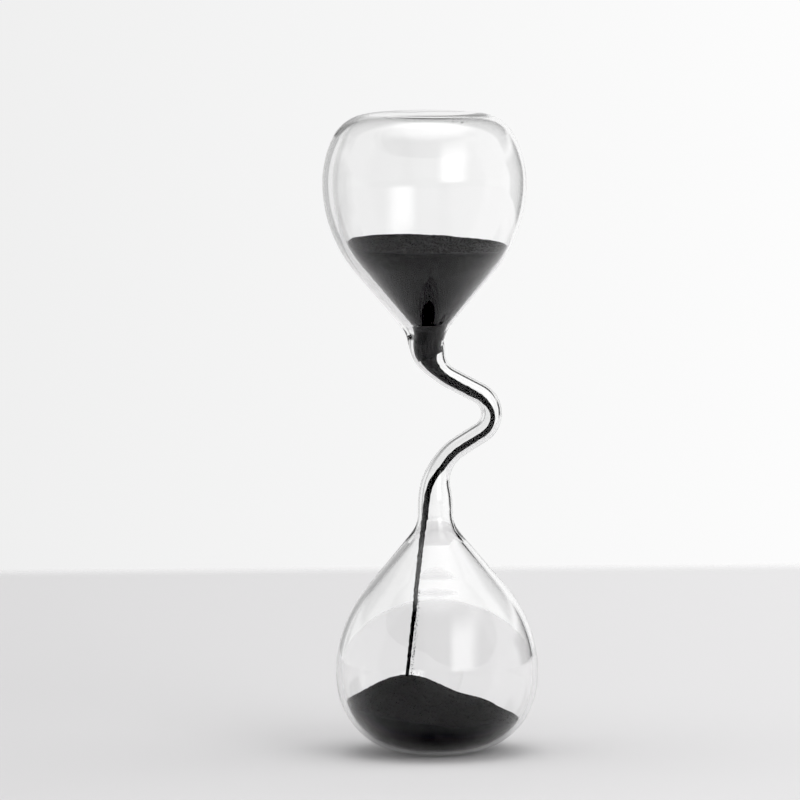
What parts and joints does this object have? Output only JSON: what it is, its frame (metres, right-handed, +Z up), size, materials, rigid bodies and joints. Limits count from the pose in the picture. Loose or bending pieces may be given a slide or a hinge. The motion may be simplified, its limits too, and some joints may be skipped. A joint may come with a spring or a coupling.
{
  "type": "hourglass",
  "caption": "Blown-glass hourglass: teardrop bulbs with flat ends joined by a thin zigzag neck, black sand part-way through its run.",
  "frame": {"origin": "centre of the lower bulb's flat base, on the lower bulb's axis", "axes": "+Z up along the lower bulb's axis, +X towards the side that the neck bends out to, -Y towards the viewer"},
  "size_m": [0.0607, 0.0588, 0.185],
  "materials": {
    "glass": "clear, fire-polished",
    "sand": "matt black grains with a faint sparkle"
  },
  "bodies": {
    "root": {"lower_bulb": "glass", "upper_bulb": "glass", "neck_tube": "glass", "fill_seal": "glass", "upper_sand": "sand", "neck_sand": "sand", "falling_sand": "sand", "lower_sand": "sand"}
  },
  "joints": []
}
